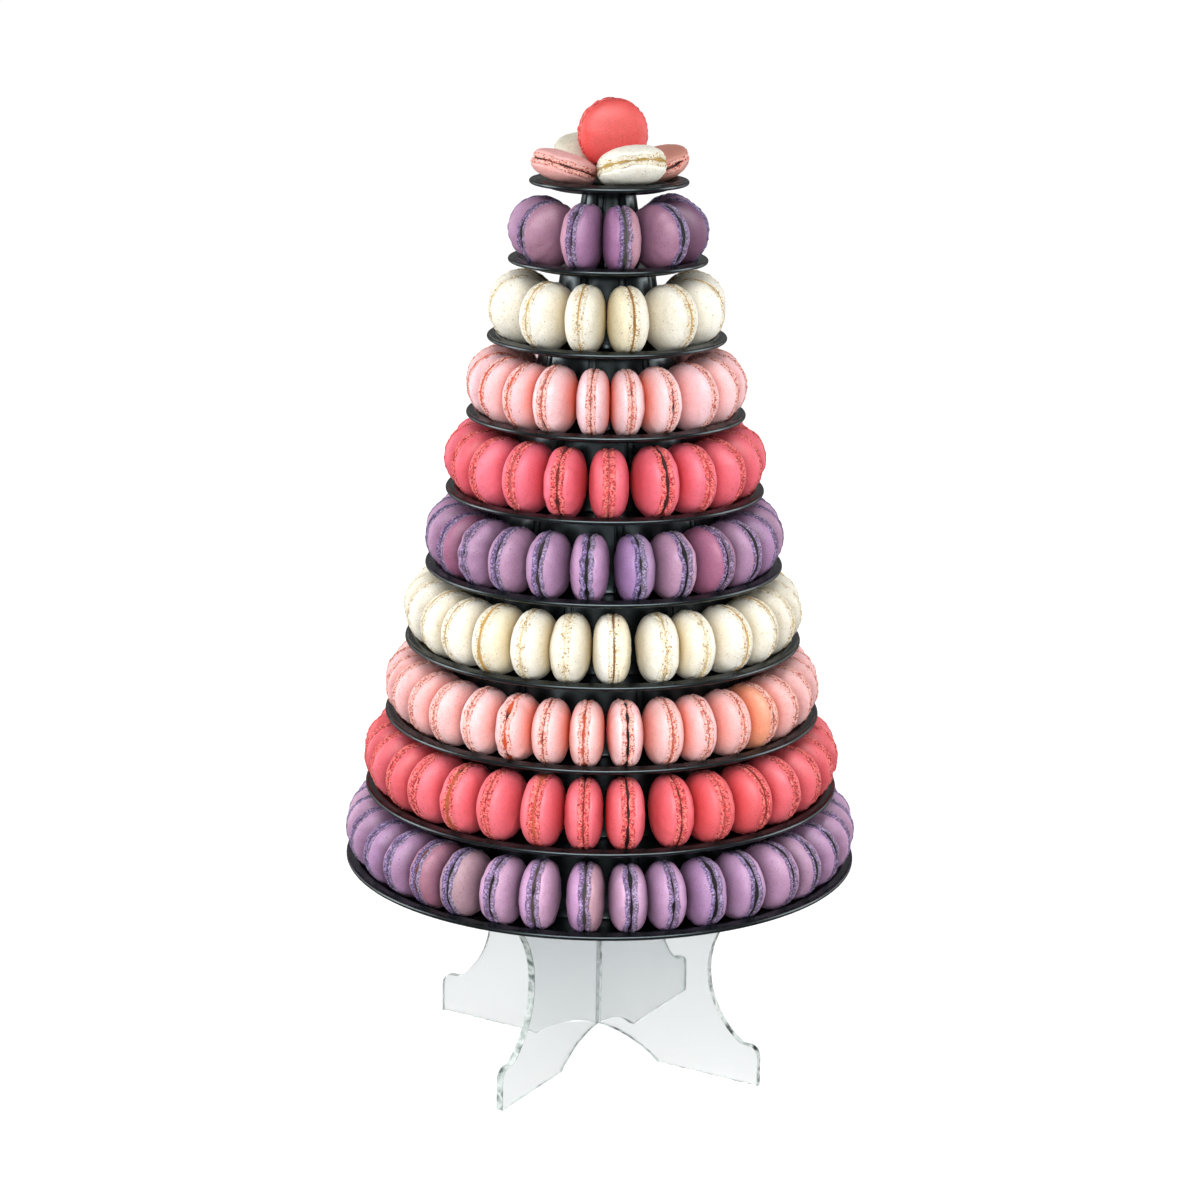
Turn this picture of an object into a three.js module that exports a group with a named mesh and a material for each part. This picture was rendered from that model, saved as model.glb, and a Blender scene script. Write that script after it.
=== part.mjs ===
// A tower of macarons: ten round black trays on two crossed clear panels.
// Millimetres, +Z up. The origin is the middle of the footprint, on the surface the feet stand on.

import * as THREE from 'three';

// ---- Driving dimensions ----

const TIER_COUNT = 10;
const TIER_RISE = 50.6;
const LOWEST_LIP_Z = 145.6;
const LOWEST_LIP_RADIUS = 172.5;
const LIP_RADIUS_STEP = 13.4;
const TOUCH_GAP = 0.3;

// A tray's section, measured from its outer lip: inward, and up or down.
const TRAY = {
  crestIn: 6.1,
  crestUp: 2.2,
  floorIn: 10.5,
  floorDown: 3.2,
  undersideIn: 13.5,
  undersideDown: 5,
  columnFootIn: 45.2,
  columnTopIn: 48,
  sides: 24,
  lowerSides: 28,
  lowerTiers: 5,
};

// The panels: half of the outline, measured from the middle line and the feet.
const PANEL = {
  thickness: 5,
  footOuter: 126.7,
  footInner: 50.8,
  shoulderZ: 28.5,
  shoulderRound: 8,
  waistHalf: 87.5,
  waistZ: 77,
  waistRound: 57.8,
  archRise: 18.4,
};

// A macaron's half section: share of its radius, and share of its half thickness.
const MACARON_PROFILE = [
  [0, 1],
  [0.78, 0.82],
  [1, 0.26],
];
const MACARON_SIDES = 12;
const DIAMETER_SPREAD = 0.015;
const THICKNESS_SPREAD = 0.03;
const YAW_SPREAD = 2;

// A full ring of macarons, as one solid: the section's corners, and how far it sinks between two.
const RING_CORNERS = [0, 50, 100, 170, 243, 300];
const RING_SWELL = 1.02;
const RING_WAIST = 0.72;

// Every tier that carries standing macarons, from the lowest: how many stand on it, the direction
// of the first one in degrees, how unevenly they are spaced as a share of their spacing, the draw
// of small shifts, and the mean size of one. Places in `open` are left empty, and `moved` gives the
// degrees that a macaron stands away from its place.
const TIERS = [
  { flavour: 'lilac', count: 36, first: -123.4, uneven: 0.08, draw: 3366, diameter: 45, thickness: 24.5 },
  { flavour: 'coral', count: 32, first: -131.1, uneven: 0.08, draw: 6182, diameter: 46.8, thickness: 25.5 },
  { flavour: 'pink', count: 33, first: -140.2, uneven: 0.08, draw: 7644, diameter: 44, thickness: 22.5 },
  { flavour: 'cream', count: 27, first: -135.9, uneven: 0.08, draw: 348, diameter: 45.6, thickness: 25 },
  { flavour: 'lilac', count: 24, first: -139, uneven: 0.11, draw: 5540, diameter: 44.8, thickness: 24.5 },
  { flavour: 'coral', count: 20, first: -147.3, uneven: 0.11, draw: 4863, diameter: 46.6, thickness: 25.5 },
  {
    flavour: 'pink', count: 20, first: -138.3, uneven: 0.14, draw: 1633, diameter: 44.8, thickness: 22.5,
    open: [17],
  },
  {
    flavour: 'cream', count: 12, first: -134.3, uneven: 0.11, draw: 1488, diameter: 44.6, thickness: 25.5,
    open: [7, 10],
  },
  {
    flavour: 'lilac', count: 10, first: -121.1, uneven: 0.14, draw: 9604, diameter: 43.4, thickness: 25,
    open: [6, 8], moved: { 7: -10.7 },
  },
];
const FIRST_SEPARATE_TIER = 8;

// The top tray: four macarons lie round its middle, outer edges up, and one stands on them.
// Each one's direction and tilt in degrees, distance from the axis, and height over the floor.
const TOP_LYING = {
  top_pink_left: {
    flavour: 'pink', direction: -122.4, out: 32.6, up: 13.5, tilt: 19, diameter: 44, thickness: 20.2,
  },
  top_cream_front: {
    flavour: 'cream', direction: -34, out: 32.5, up: 15.6, tilt: 19, diameter: 45.4, thickness: 25,
  },
  top_pink_right: {
    flavour: 'pink', direction: 56.2, out: 34.5, up: 13.1, tilt: 18, diameter: 43, thickness: 20.2,
  },
  top_cream_back: {
    flavour: 'cream', direction: 148, out: 32.3, up: 15.5, tilt: 19, diameter: 44.8, thickness: 25,
  },
};
const TOP_STANDING = {
  flavour: 'coral', direction: 30.2, out: 1.8, up: 33.8, turn: 45.2, diameter: 46.6, thickness: 24,
};

const degrees = THREE.MathUtils.degToRad;

// ---- Materials ----

const FINISH = {
  clear: new THREE.MeshStandardMaterial({ color: 0xd6dadb, roughness: 0.05, metalness: 0 }),
  tray: new THREE.MeshStandardMaterial({ color: 0x14181b, roughness: 0.2, metalness: 0 }),
  lilac: new THREE.MeshStandardMaterial({ color: 0xb283ad, roughness: 0.6, metalness: 0 }),
  coral: new THREE.MeshStandardMaterial({ color: 0xe2596b, roughness: 0.6, metalness: 0 }),
  pink: new THREE.MeshStandardMaterial({ color: 0xf0bcc0, roughness: 0.6, metalness: 0 }),
  cream: new THREE.MeshStandardMaterial({ color: 0xefece0, roughness: 0.6, metalness: 0 }),
};

const tower = new THREE.Group();

function addPiece(name, geometry, finish, parent = tower) {
  const piece = new THREE.Mesh(geometry, FINISH[finish]);
  piece.name = name;
  parent.add(piece);
  return piece;
}

// ---- Places on the tiers ----

const lipZ = (tier) => LOWEST_LIP_Z + (tier - 1) * TIER_RISE;
const lipRadius = (tier) => LOWEST_LIP_RADIUS - (tier - 1) * LIP_RADIUS_STEP;
const floorZ = (tier) => lipZ(tier) - TRAY.floorDown;
const undersideZ = (tier) => lipZ(tier) - TRAY.undersideDown;

// A repeatable number between -1 and 1 for the index-th macaron of a draw.
function shift(index, draw) {
  const wave = Math.sin((index + 1) * 12.9898 + draw * 78.233) * 43758.5453;
  return (wave - Math.floor(wave)) * 2 - 1;
}

const traySides = (tier) => (tier <= TRAY.lowerTiers ? TRAY.lowerSides : TRAY.sides);

// A macaron stands on its edge: on the tray's floor, and leaning out against its crest, whose
// flat sides come in a little further than its corners.
function standingMacaron(tier, index) {
  const row = TIERS[tier - 1];
  const spacing = 360 / row.count;
  const radius = 0.5 * row.diameter * (1 + DIAMETER_SPREAD * shift(index, row.draw + 1));
  const reach = radius + TOUCH_GAP;
  const crestHeight = TRAY.crestUp + TRAY.floorDown;
  const crestReach = Math.sqrt(reach ** 2 - (reach - crestHeight) ** 2);
  const crestRadius = (lipRadius(tier) - TRAY.crestIn) * Math.cos(Math.PI / traySides(tier));
  const moved = row.moved?.[index] ?? 0;
  return {
    radius,
    thickness: row.thickness * (1 + THICKNESS_SPREAD * shift(index, row.draw + 2)),
    angle: row.first + index * spacing + spacing * row.uneven * shift(index, row.draw) + moved,
    yaw: YAW_SPREAD * shift(index, row.draw + 3),
    out: crestRadius - crestReach,
    z: floorZ(tier) + reach,
  };
}

// All of a tier's macarons, in order round it, starting after its last open place.
function standingMacarons(tier) {
  const { count, open = [] } = TIERS[tier - 1];
  const start = open.length ? open.at(-1) + 1 : 0;
  const macarons = [];
  for (let place = start; place < start + count; place += 1) {
    const index = place % count;
    if (!open.includes(index)) {
      const macaron = standingMacaron(tier, index);
      macaron.angle += place === index ? 0 : 360;
      macarons.push(macaron);
    }
  }
  return macarons;
}

// ---- Base: two crossed panels, halved into each other ----

const panelTopZ = undersideZ(1) - TOUCH_GAP;
const halvingZ = 0.5 * (PANEL.archRise + panelTopZ);
const slotHalf = 0.5 * PANEL.thickness + TOUCH_GAP;

// Where the waist's circle crosses a height, as a distance from the middle line.
const waistCentre = PANEL.waistHalf + PANEL.waistRound;
const waistAt = (z) => waistCentre - Math.sqrt(PANEL.waistRound ** 2 - (z - PANEL.waistZ) ** 2);

// The underside's arch: one circle through both inner corners of the feet and the top of the arch.
const archRadius = (PANEL.footInner ** 2 + PANEL.archRise ** 2) / (2 * PANEL.archRise);
const archCentreZ = PANEL.archRise - archRadius;
const archAngle = (x) => Math.acos(x / archRadius);

const shoulderRoundX = PANEL.footOuter - PANEL.shoulderRound;
const shoulderRoundZ = PANEL.shoulderZ - PANEL.shoulderRound;
const flangeZ = 2 * PANEL.waistZ - PANEL.shoulderZ;
const waistSpread = Math.asin((PANEL.waistZ - PANEL.shoulderZ) / PANEL.waistRound);

// Up the right side: foot, shoulder, waist, and the flange under the lowest tray.
function traceRightSide(shape) {
  shape.lineTo(PANEL.footOuter, 0);
  shape.lineTo(PANEL.footOuter, shoulderRoundZ);
  shape.absarc(shoulderRoundX, shoulderRoundZ, PANEL.shoulderRound, 0, 0.5 * Math.PI, false);
  shape.lineTo(waistAt(PANEL.shoulderZ), PANEL.shoulderZ);
  shape.absarc(
    waistCentre, PANEL.waistZ, PANEL.waistRound, Math.PI + waistSpread, Math.PI - waistSpread, true,
  );
  shape.lineTo(shoulderRoundX, flangeZ);
  shape.lineTo(shoulderRoundX, panelTopZ);
}

// Down the left side, which mirrors the right one.
function traceLeftSide(shape) {
  shape.lineTo(-shoulderRoundX, panelTopZ);
  shape.lineTo(-shoulderRoundX, flangeZ);
  shape.lineTo(-waistAt(PANEL.shoulderZ), flangeZ);
  shape.absarc(-waistCentre, PANEL.waistZ, PANEL.waistRound, waistSpread, -waistSpread, true);
  shape.lineTo(-shoulderRoundX, PANEL.shoulderZ);
  shape.absarc(-shoulderRoundX, shoulderRoundZ, PANEL.shoulderRound, 0.5 * Math.PI, Math.PI, false);
  shape.lineTo(-PANEL.footOuter, 0);
}

function panelGeometry(slotFromTop) {
  const slotEndZ = halvingZ + (slotFromTop ? -0.5 : 0.5) * TOUCH_GAP;
  const shape = new THREE.Shape();
  shape.moveTo(PANEL.footInner, 0);
  traceRightSide(shape);
  if (slotFromTop) {
    shape.lineTo(slotHalf, panelTopZ);
    shape.lineTo(slotHalf, slotEndZ);
    shape.lineTo(-slotHalf, slotEndZ);
    shape.lineTo(-slotHalf, panelTopZ);
  }
  traceLeftSide(shape);
  shape.lineTo(-PANEL.footInner, 0);
  if (slotFromTop) {
    shape.absarc(0, archCentreZ, archRadius, archAngle(-PANEL.footInner), archAngle(PANEL.footInner), true);
  } else {
    shape.absarc(0, archCentreZ, archRadius, archAngle(-PANEL.footInner), archAngle(-slotHalf), true);
    shape.lineTo(-slotHalf, slotEndZ);
    shape.lineTo(slotHalf, slotEndZ);
    shape.absarc(0, archCentreZ, archRadius, archAngle(slotHalf), archAngle(PANEL.footInner), true);
  }
  const geometry = new THREE.ExtrudeGeometry(shape, {
    depth: PANEL.thickness,
    bevelEnabled: false,
    curveSegments: 5,
  });
  geometry.translate(0, 0, -0.5 * PANEL.thickness);
  geometry.rotateX(0.5 * Math.PI);
  return geometry;
}

addPiece('panel_x', panelGeometry(false), 'clear');
addPiece('panel_y', panelGeometry(true), 'clear').rotation.z = 0.5 * Math.PI;

// ---- Trays ----

// A shallow dish with a raised crest, and a tapered column that the next tray's underside rests on.
function trayGeometry(tier) {
  const lip = lipRadius(tier);
  const z = lipZ(tier);
  const outline = [
    new THREE.Vector2(0, undersideZ(tier)),
    new THREE.Vector2(lip - TRAY.undersideIn, undersideZ(tier)),
    new THREE.Vector2(lip, z),
    new THREE.Vector2(lip - TRAY.crestIn, z + TRAY.crestUp),
    new THREE.Vector2(lip - TRAY.floorIn, floorZ(tier)),
  ];
  if (tier < TIER_COUNT) {
    const columnTopZ = undersideZ(tier + 1) - TOUCH_GAP;
    outline.push(new THREE.Vector2(lip - TRAY.columnFootIn, floorZ(tier)));
    outline.push(new THREE.Vector2(lip - TRAY.columnTopIn, columnTopZ));
    outline.push(new THREE.Vector2(0, columnTopZ));
  } else {
    outline.push(new THREE.Vector2(0, floorZ(tier)));
  }
  const geometry = new THREE.LatheGeometry(outline, traySides(tier));
  geometry.rotateX(0.5 * Math.PI);
  return geometry;
}

for (let tier = 1; tier <= TIER_COUNT; tier += 1) {
  addPiece(`tray_${tier}`, trayGeometry(tier), 'tray');
}

// ---- Macarons ----

// Two domed shells and their feet in one turned solid, its axis along Y.
function macaronGeometry(radius, thickness) {
  const half = 0.5 * thickness;
  const lower = MACARON_PROFILE.map(([r, t]) => new THREE.Vector2(r * radius, -t * half));
  const upper = MACARON_PROFILE.map(([r, t]) => new THREE.Vector2(r * radius, t * half)).reverse();
  return new THREE.LatheGeometry([...lower, ...upper], MACARON_SIDES);
}

// The stations of a ring's section: full at each macaron's own plane, and drawn in halfway to
// the next one. Beside an open place the ring ends at a drawn-in station.
function ringStations(tier) {
  const { count, open } = TIERS[tier - 1];
  const macarons = standingMacarons(tier);
  const halfSpacing = 180 / count;
  const beside = (macaron, turn) => ({
    ...macaron,
    angle: macaron.angle + turn,
    radius: macaron.radius * RING_WAIST,
  });
  const stations = open ? [beside(macarons[0], -halfSpacing)] : [];
  macarons.forEach((here, order) => {
    stations.push({ ...here, radius: here.radius * RING_SWELL });
    if (open && order === macarons.length - 1) {
      stations.push(beside(here, halfSpacing));
      return;
    }
    const next = macarons[(order + 1) % macarons.length];
    const nextAngle = next.angle + (order + 1 === macarons.length ? 360 : 0);
    stations.push({
      angle: 0.5 * (here.angle + nextAngle),
      out: 0.5 * (here.out + next.out),
      z: 0.5 * (here.z + next.z),
      radius: 0.5 * (here.radius + next.radius) * RING_WAIST,
    });
  });
  return stations;
}

// A whole tier's macarons as one ring, out to its uneven outline.
function ringGeometry(tier) {
  const stations = ringStations(tier);
  const isOpen = Boolean(TIERS[tier - 1].open);
  const corners = RING_CORNERS.length;
  const positions = [];
  const faces = [];
  stations.forEach((station, s) => {
    const direction = degrees(station.angle);
    const isLast = s === stations.length - 1;
    RING_CORNERS.forEach((corner, c) => {
      const out = station.out + station.radius * Math.cos(degrees(corner));
      const up = station.z + station.radius * Math.sin(degrees(corner));
      positions.push(out * Math.cos(direction), out * Math.sin(direction), up);
      if (isOpen && isLast) {
        return;
      }
      const nextCorner = (c + 1) % corners;
      const nextStation = isLast ? 0 : s + 1;
      const a = s * corners + c;
      const b = nextStation * corners + c;
      const d = s * corners + nextCorner;
      const e = nextStation * corners + nextCorner;
      faces.push(a, b, d, b, e, d);
    });
  });
  if (isOpen) {
    const end = (stations.length - 1) * corners;
    for (let c = 1; c < corners - 1; c += 1) {
      faces.push(0, c, c + 1);
      faces.push(end, end + c + 1, end + c);
    }
  }
  const geometry = new THREE.BufferGeometry();
  geometry.setAttribute('position', new THREE.Float32BufferAttribute(positions, 3));
  geometry.setIndex(faces);
  geometry.computeVertexNormals();
  return geometry;
}

// Where two neighbours crowd each other their soft shells flatten on the upright plane between
// them, so no point of either passes that plane.
function pressBetween(geometry, angleBefore, angleAfter) {
  const position = geometry.getAttribute('position');
  for (let i = 0; i < position.count; i += 1) {
    const out = position.getX(i);
    const before = out * Math.tan(degrees(0.5 * angleBefore)) - 0.5 * TOUCH_GAP;
    const after = out * Math.tan(degrees(0.5 * angleAfter)) - 0.5 * TOUCH_GAP;
    position.setY(i, Math.min(after, Math.max(-before, position.getY(i))));
  }
  return geometry;
}

function addSeparateMacarons(tier) {
  const macarons = standingMacarons(tier);
  macarons.forEach((macaron, order) => {
    const before = (360 + macaron.angle - macarons.at(order - 1).angle) % 360;
    const after = (360 + macarons[(order + 1) % macarons.length].angle - macaron.angle) % 360;
    const geometry = macaronGeometry(macaron.radius, macaron.thickness);
    geometry.rotateZ(degrees(macaron.yaw));
    geometry.translate(macaron.out, 0, macaron.z);
    const name = `macaron_${tier}_${String(order + 1).padStart(2, '0')}`;
    const piece = addPiece(name, pressBetween(geometry, before, after), TIERS[tier - 1].flavour);
    piece.rotation.z = degrees(macaron.angle);
  });
}

TIERS.forEach((row, index) => {
  const tier = index + 1;
  if (tier < FIRST_SEPARATE_TIER) {
    addPiece(`macaron_ring_${tier}`, ringGeometry(tier), row.flavour);
  } else {
    addSeparateMacarons(tier);
  }
});

// ---- Top tray ----

for (const [name, macaron] of Object.entries(TOP_LYING)) {
  const around = new THREE.Group();
  around.rotation.z = degrees(macaron.direction);
  tower.add(around);
  const geometry = macaronGeometry(0.5 * macaron.diameter, macaron.thickness);
  const piece = addPiece(name, geometry, macaron.flavour, around);
  piece.position.set(macaron.out, 0, floorZ(TIER_COUNT) + macaron.up);
  piece.rotation.set(0.5 * Math.PI, -degrees(macaron.tilt), 0, 'YXZ');
}

const standingGeometry = macaronGeometry(0.5 * TOP_STANDING.diameter, TOP_STANDING.thickness);
const standing = addPiece('top_coral', standingGeometry, TOP_STANDING.flavour);
const standingDirection = degrees(TOP_STANDING.direction);
standing.position.set(
  TOP_STANDING.out * Math.cos(standingDirection),
  TOP_STANDING.out * Math.sin(standingDirection),
  floorZ(TIER_COUNT) + TOP_STANDING.up,
);
standing.rotation.z = degrees(TOP_STANDING.turn);

export default tower;
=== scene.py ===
# A macaron tower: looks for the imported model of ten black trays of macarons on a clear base.
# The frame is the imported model's own, in metres. Sizes here are in millimetres, and MM turns them
# to metres. Only the studio's sizes, at the end, are in metres.

import math

import bpy
import numpy as np
from mathutils import Matrix, Vector


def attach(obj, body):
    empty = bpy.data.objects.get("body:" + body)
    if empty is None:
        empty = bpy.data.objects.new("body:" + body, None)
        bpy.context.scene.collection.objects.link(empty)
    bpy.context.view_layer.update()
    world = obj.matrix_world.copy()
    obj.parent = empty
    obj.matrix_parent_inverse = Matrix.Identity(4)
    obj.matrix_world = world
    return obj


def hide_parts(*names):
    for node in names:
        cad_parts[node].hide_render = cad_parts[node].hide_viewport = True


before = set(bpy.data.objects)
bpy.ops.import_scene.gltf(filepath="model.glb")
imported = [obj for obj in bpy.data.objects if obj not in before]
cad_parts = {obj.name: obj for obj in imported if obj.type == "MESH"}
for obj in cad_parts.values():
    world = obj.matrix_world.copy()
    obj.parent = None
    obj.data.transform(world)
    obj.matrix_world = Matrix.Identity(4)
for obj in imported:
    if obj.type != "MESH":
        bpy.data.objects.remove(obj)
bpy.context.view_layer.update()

MM = 0.001

# ---- Sizes, the same as the solids' ----

TIER_COUNT = 10
TIER_RISE = 50.6
LOWEST_LIP_Z = 145.6
LOWEST_LIP_RADIUS = 172.5
LIP_RADIUS_STEP = 13.4
TOUCH_GAP = 0.3
CREST_IN = 6.1
CREST_UP = 2.2
FLOOR_IN = 10.5
FLOOR_DOWN = 3.2
UNDERSIDE_IN = 13.5
UNDERSIDE_DOWN = 5.0
COLUMN_FOOT_IN = 45.2
COLUMN_TOP_IN = 48.0
# The solid trays are many-sided, and a crest is nearest the axis at the middle of a side.
TRAY_SIDES = {tier: 28 if tier <= 5 else 24 for tier in range(1, TIER_COUNT + 1)}
# How far the tower's front is turned from -Y, in degrees against the clock.
FRONT_TURN = 30.2
# Tiers up to this one are one ring solid each; above it each macaron is a solid of its own.
RING_TIERS = 7

DIAMETER_SPREAD = 0.015
THICKNESS_SPREAD = 0.03
YAW_SPREAD = 2.0

# Flavour, how many stand on the tier, the first one's direction, the unevenness of the spacing,
# the draw of small shifts, and one macaron's mean diameter and thickness.
TIERS = {
    1: ("lilac", 36, -123.4, 0.08, 3366, 45.0, 24.5),
    2: ("coral", 32, -131.1, 0.08, 6182, 46.8, 25.5),
    3: ("pink", 33, -140.2, 0.08, 7644, 44.0, 22.5),
    4: ("cream", 27, -135.9, 0.08, 348, 45.6, 25.0),
    5: ("lilac", 24, -139.0, 0.11, 5540, 44.8, 24.5),
    6: ("coral", 20, -147.3, 0.11, 4863, 46.6, 25.5),
    7: ("pink", 20, -138.3, 0.14, 1633, 44.8, 22.5),
    8: ("cream", 12, -134.3, 0.11, 1488, 44.6, 25.5),
    9: ("lilac", 10, -121.1, 0.14, 9604, 43.4, 25.0),
}

# Places left empty at the back, and how many degrees one stands away from its place.
OPEN_PLACES = {7: (17,), 8: (7, 10), 9: (6, 8)}
MOVED = {(9, 7): -10.7}

# The top tray's lying macarons: flavour, direction, distance from the axis, height over the
# floor, tilt, diameter, thickness.
TOP_LYING = {
    "top_pink_left": ("pink", -122.4, 32.6, 13.5, 19.0, 44.0, 20.2),
    "top_cream_front": ("cream", -34.0, 32.5, 15.6, 19.0, 45.4, 25.0),
    "top_pink_right": ("pink", 56.2, 34.5, 13.1, 18.0, 43.0, 20.2),
    "top_cream_back": ("cream", 148.0, 32.3, 15.5, 19.0, 44.8, 25.0),
}
TOP_STANDING = {
    "direction": 30.2,
    "out": 1.8,
    "up": 33.8,
    "turn": 45.2,
    "diameter": 46.6,
    "thickness": 24.0,
    "draw": 9,
}


def lip_z(tier):
    return LOWEST_LIP_Z + (tier - 1) * TIER_RISE


def lip_radius(tier):
    return LOWEST_LIP_RADIUS - (tier - 1) * LIP_RADIUS_STEP


def shift(index, draw):
    """The same repeatable number between -1 and 1 as the solids use."""
    wave = math.sin((index + 1) * 12.9898 + draw * 78.233) * 43758.5453
    return (wave - math.floor(wave)) * 2 - 1


# ---- Shared making ----


def linear(hex_colour):
    """An sRGB hex value as the linear colour that shaders take."""
    values = [int(hex_colour[i : i + 2], 16) / 255 for i in (1, 3, 5)]
    curved = [v / 12.92 if v <= 0.04045 else ((v + 0.055) / 1.055) ** 2.4 for v in values]
    return (*curved, 1.0)


def deselect():
    if bpy.context.object and bpy.context.object.mode != "OBJECT":
        bpy.ops.object.mode_set(mode="OBJECT")
    bpy.ops.object.select_all(action="DESELECT")


def drawn_line(name, points):
    """A chain of edges through points, drawn by extruding one vertex from point to point."""
    deselect()
    bpy.ops.mesh.primitive_plane_add(size=1, location=(0, 0, 0))
    piece = bpy.context.object
    piece.name = piece.data.name = name
    bpy.ops.object.mode_set(mode="EDIT")
    bpy.ops.mesh.select_all(action="SELECT")
    bpy.ops.mesh.merge(type="CENTER")
    bpy.ops.transform.translate(value=points[0])
    for here, following in zip(points, points[1:]):
        step = tuple(b - a for a, b in zip(here, following))
        bpy.ops.mesh.extrude_region_move(TRANSFORM_OT_translate={"value": step})
    return piece


def turned(name, outline, steps, axis=(0, 0, 1)):
    """A closed turned piece: outline is drawn, spun all the way round axis, and made whole."""
    piece = drawn_line(name, outline)
    bpy.ops.mesh.select_all(action="SELECT")
    bpy.ops.mesh.spin(steps=steps, angle=2 * math.pi, center=(0, 0, 0), axis=axis)
    bpy.ops.mesh.select_all(action="SELECT")
    bpy.ops.mesh.remove_doubles(threshold=0.01 * MM)
    bpy.ops.mesh.normals_make_consistent(inside=False)
    bpy.ops.object.mode_set(mode="OBJECT")
    return piece


def positions(mesh):
    place = np.empty(len(mesh.vertices) * 3)
    mesh.vertices.foreach_get("co", place)
    return place.reshape(-1, 3)


def set_positions(mesh, place):
    mesh.vertices.foreach_set("co", np.asarray(place).ravel())
    mesh.update()


def smooth(piece, angle=None):
    deselect()
    piece.select_set(True)
    bpy.context.view_layer.objects.active = piece
    if angle is None:
        bpy.ops.object.shade_smooth()
    else:
        bpy.ops.object.shade_smooth_by_angle(angle=math.radians(angle))


# ---- Materials ----


def new_material(name):
    material = bpy.data.materials.new(name)
    material.use_nodes = True
    tree = material.node_tree
    tree.nodes.clear()
    return material, tree


def add(tree, kind, settings=None, links=None):
    """Adds one node: settings go on its sockets or properties, links come from (node, output).

    A colour ramp's stops are a setting too, each a place with a hex colour or a grey level."""
    node = tree.nodes.new(kind)
    for key, value in (settings or {}).items():
        if key == "stops":
            while len(node.color_ramp.elements) < len(value):
                node.color_ramp.elements.new(0.5)
            for element, (place, tone) in zip(node.color_ramp.elements, value):
                element.position = place
                element.color = linear(tone) if isinstance(tone, str) else (tone, tone, tone, 1.0)
        elif isinstance(key, str) and hasattr(node, key):
            setattr(node, key, value)
        else:
            node.inputs[key].default_value = value
    for key, (source, output) in (links or {}).items():
        tree.links.new(source.outputs[output], node.inputs[key])
    return node


ATTRIBUTE = "ShaderNodeAttribute"
BUMP = "ShaderNodeBump"
CELLS = "ShaderNodeTexVoronoi"
MATHS = "ShaderNodeMath"
MIX = "ShaderNodeMix"
NOISE = "ShaderNodeTexNoise"
RAMP = "ShaderNodeValToRGB"
SHADER = "ShaderNodeBsdfPrincipled"
# A colour mix's sockets: the factor, the two colours, and the mixed colour that comes out.
FACTOR = 0
FIRST = 6
SECOND = 7
MIXED = 2
BLEND = {"data_type": "RGBA"}
MULTIPLY = {"data_type": "RGBA", "blend_type": "MULTIPLY", FACTOR: 1.0}


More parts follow.
